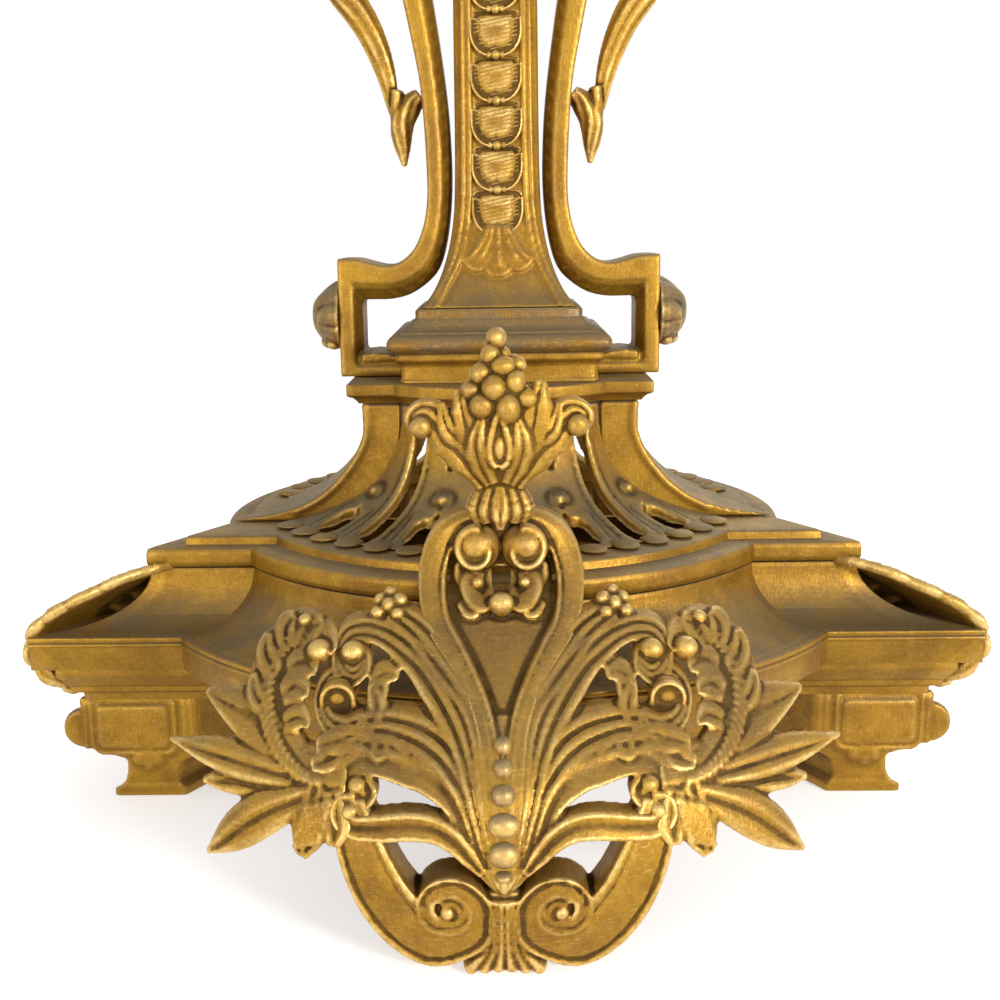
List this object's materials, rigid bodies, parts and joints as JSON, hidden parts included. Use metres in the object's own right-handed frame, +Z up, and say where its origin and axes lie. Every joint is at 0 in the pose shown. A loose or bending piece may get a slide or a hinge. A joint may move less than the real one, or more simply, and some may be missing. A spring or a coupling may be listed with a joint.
{
  "type": "torchere candle stand",
  "caption": "Tall gilt torchere on a round footed plinth with two front wings, with a pierced bell, scroll brackets, scroll feet and a round flat top for a candle or candelabrum.",
  "frame": {"origin": "on the floor, below the shaft's axis", "axes": "+Z up along the shaft, -Y towards the front ornament, +X along the right wing"},
  "size_m": [0.6, 0.656, 1.1],
  "materials": {
    "gilt_body": "antique gilding over cast metal, matt ochre, dusty and darker in the hollows",
    "gilt_ornament": "antique gilding, burnished on raised carving and brown in the hollows",
    "gilt_worn": "worn gilding, grey brown",
    "iron": "dark forged iron"
  },
  "bodies": {
    "root": {"plinth": "gilt_body", "plinth_neck": "gilt_body", "upper_step": "gilt_body", "bell_cap": "gilt_body", "socle_drum": "gilt_body", "socle_moulding": "gilt_worn", "shaft_lower": "gilt_body", "shaft_knop": "gilt_ornament", "shaft_upper": "gilt_body", "capital": "gilt_ornament", "top_plate": "gilt_body", "top_cap_disc": "gilt_body", "rib_left": "gilt_body", "rib_right": "gilt_body", "pierced_panel_front": "gilt_body", "pierced_panel_back": "gilt_body", "end_leaf_left": "gilt_ornament", "end_leaf_right": "gilt_ornament", "bracket_left": "gilt_body", "bracket_right": "gilt_body", "bracket_shell_left": "gilt_ornament", "bracket_shell_right": "gilt_ornament", "pendant_leaf_left": "gilt_ornament", "pendant_leaf_right": "gilt_ornament", "block_foot_front_left": "gilt_body", "block_foot_front_right": "gilt_body", "block_foot_back_left": "gilt_body", "block_foot_back_right": "gilt_body", "scroll_foot_front": "gilt_ornament", "scroll_foot_back": "gilt_ornament", "heart_mount_front": "gilt_ornament", "heart_mount_back": "gilt_ornament", "side_scroll_front_left": "gilt_ornament", "side_scroll_front_right": "gilt_ornament", "side_scroll_back_left": "gilt_ornament", "side_scroll_back_right": "gilt_ornament", "leaf_spray_front_left": "gilt_ornament", "leaf_spray_front_right": "gilt_ornament", "leaf_spray_back_left": "gilt_ornament", "leaf_spray_back_right": "gilt_ornament", "berry_finial_front": "gilt_ornament", "berry_finial_back": "gilt_ornament", "spine_bar": "iron", "tie_rod": "iron", "tie_washer_bottom": "iron", "tie_nut_bottom": "iron", "tie_washer_top": "iron", "tie_nut_top": "iron", "foot_stud_front_left": "iron", "foot_stud_front_right": "iron", "foot_stud_back_left": "iron", "foot_stud_back_right": "iron", "foot_screw_front": "iron", "foot_screw_back": "iron", "mount_screw_front": "iron", "mount_screw_back": "iron", "bracket_screw_left": "iron", "bracket_screw_right": "iron"}
  },
  "joints": []
}
